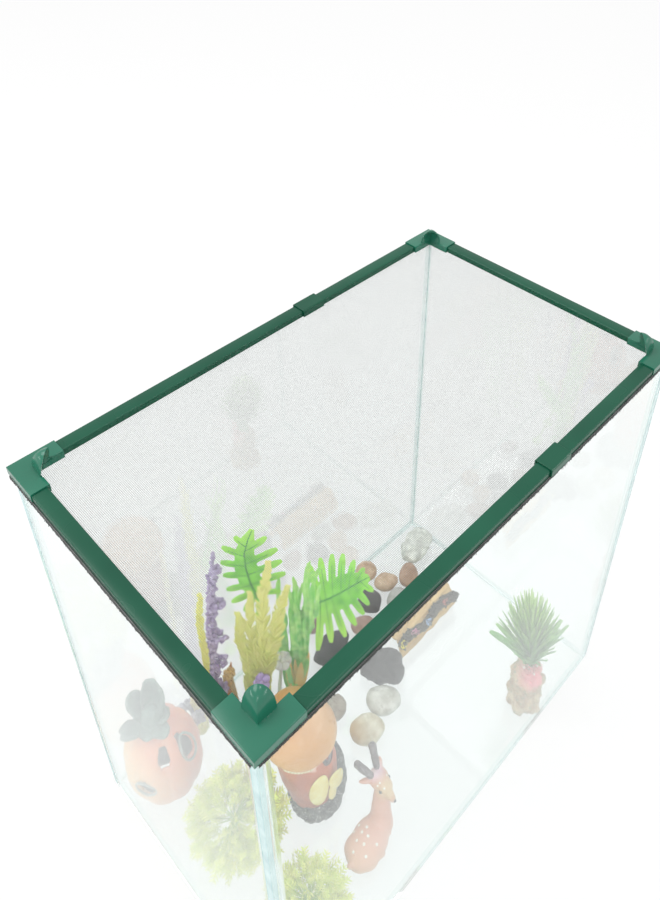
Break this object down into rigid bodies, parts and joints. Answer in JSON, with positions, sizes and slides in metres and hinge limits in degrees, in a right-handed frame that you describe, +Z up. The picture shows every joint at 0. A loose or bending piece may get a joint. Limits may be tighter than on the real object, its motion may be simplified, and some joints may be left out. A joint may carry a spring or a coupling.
{
  "type": "hamster cage",
  "caption": "Tall glass tank for small pets with a lift-off screen lid framed in green plastic, furnished with hides, a resting fawn, stones and plastic plants.",
  "frame": {"origin": "centre of the tank's underside, on the surface it stands on", "axes": "+Z up, +X along the long side to the right, -Y towards the front pane"},
  "size_m": [0.4058, 0.2458, 0.4215],
  "materials": {
    "green_plastic": "satin injection-moulded",
    "clear_glass": "clear float glass with ground edges",
    "silicone": "translucent cured silicone",
    "wire_screen": "fine woven wire screen, plastic coated",
    "black_rubber": "matte ribbed cord",
    "tan_resin": "painted and varnished cast resin",
    "orange_resin": "painted cast resin",
    "bark_resin": "painted cast resin bark",
    "fawn_resin": "painted cast resin",
    "pink_stone": "rough stone",
    "slate": "smooth dark stone",
    "white_stone": "smooth pale stone",
    "honey_stone": "smooth waxy stone",
    "brown_stone": "smooth river stone",
    "purple_plastic": "moulded plastic florets",
    "lime_plastic": "moulded soft plastic leaves",
    "leaf_plastic": "moulded soft plastic leaves",
    "deep_green_plastic": "moulded soft plastic leaves"
  },
  "bodies": {
    "tank": {"floor_glass": "clear_glass", "front_glass": "clear_glass", "back_glass": "clear_glass", "left_glass": "clear_glass", "right_glass": "clear_glass", "floor_silicone_bead": "silicone", "silicone_bead_front_left": "silicone", "silicone_bead_front_right": "silicone", "silicone_bead_back_right": "silicone", "silicone_bead_back_left": "silicone", "mushroom_hut": "tan_resin", "pumpkin_hide": "orange_resin", "log_tunnel": "bark_resin", "lying_fawn": "fawn_resin", "tuft_rock": "pink_stone", "pebble_slate": "slate", "pebble_long_slate": "slate", "pebble_mottled": "brown_stone", "pebble_white": "white_stone", "pebble_honey": "honey_stone", "pebble_grey_brown": "brown_stone", "pebble_tan": "brown_stone", "pebble_sand": "brown_stone", "pebble_brown": "brown_stone", "pebble_pale": "white_stone", "pebble_charcoal": "slate", "pebble_rose": "brown_stone", "coral_stone": "white_stone", "purple_spike_plant": "purple_plastic", "lime_frond_small": "lime_plastic", "lime_frond_plant": "lime_plastic", "ribbon_plant": "leaf_plastic", "split_leaf_plant_left": "leaf_plastic", "split_leaf_plant_right": "leaf_plastic", "bush_left": "lime_plastic", "bush_front": "lime_plastic", "tuft_grass": "deep_green_plastic"},
    "lid": {"corner_front_left": "green_plastic", "corner_front_right": "green_plastic", "corner_back_right": "green_plastic", "corner_back_left": "green_plastic", "rail_front_left": "green_plastic", "rail_front_right": "green_plastic", "rail_back_left": "green_plastic", "rail_back_right": "green_plastic", "rail_right": "green_plastic", "rail_left": "green_plastic", "joiner_front": "green_plastic", "joiner_back": "green_plastic", "mesh_screen": "wire_screen", "screen_spline": "black_rubber"}
  },
  "joints": [
    {"name": "lid_lift", "type": "slide", "parent": "tank", "child": "lid", "axis": [0, 0, 1], "range_m": [0, 0.12]}
  ]
}
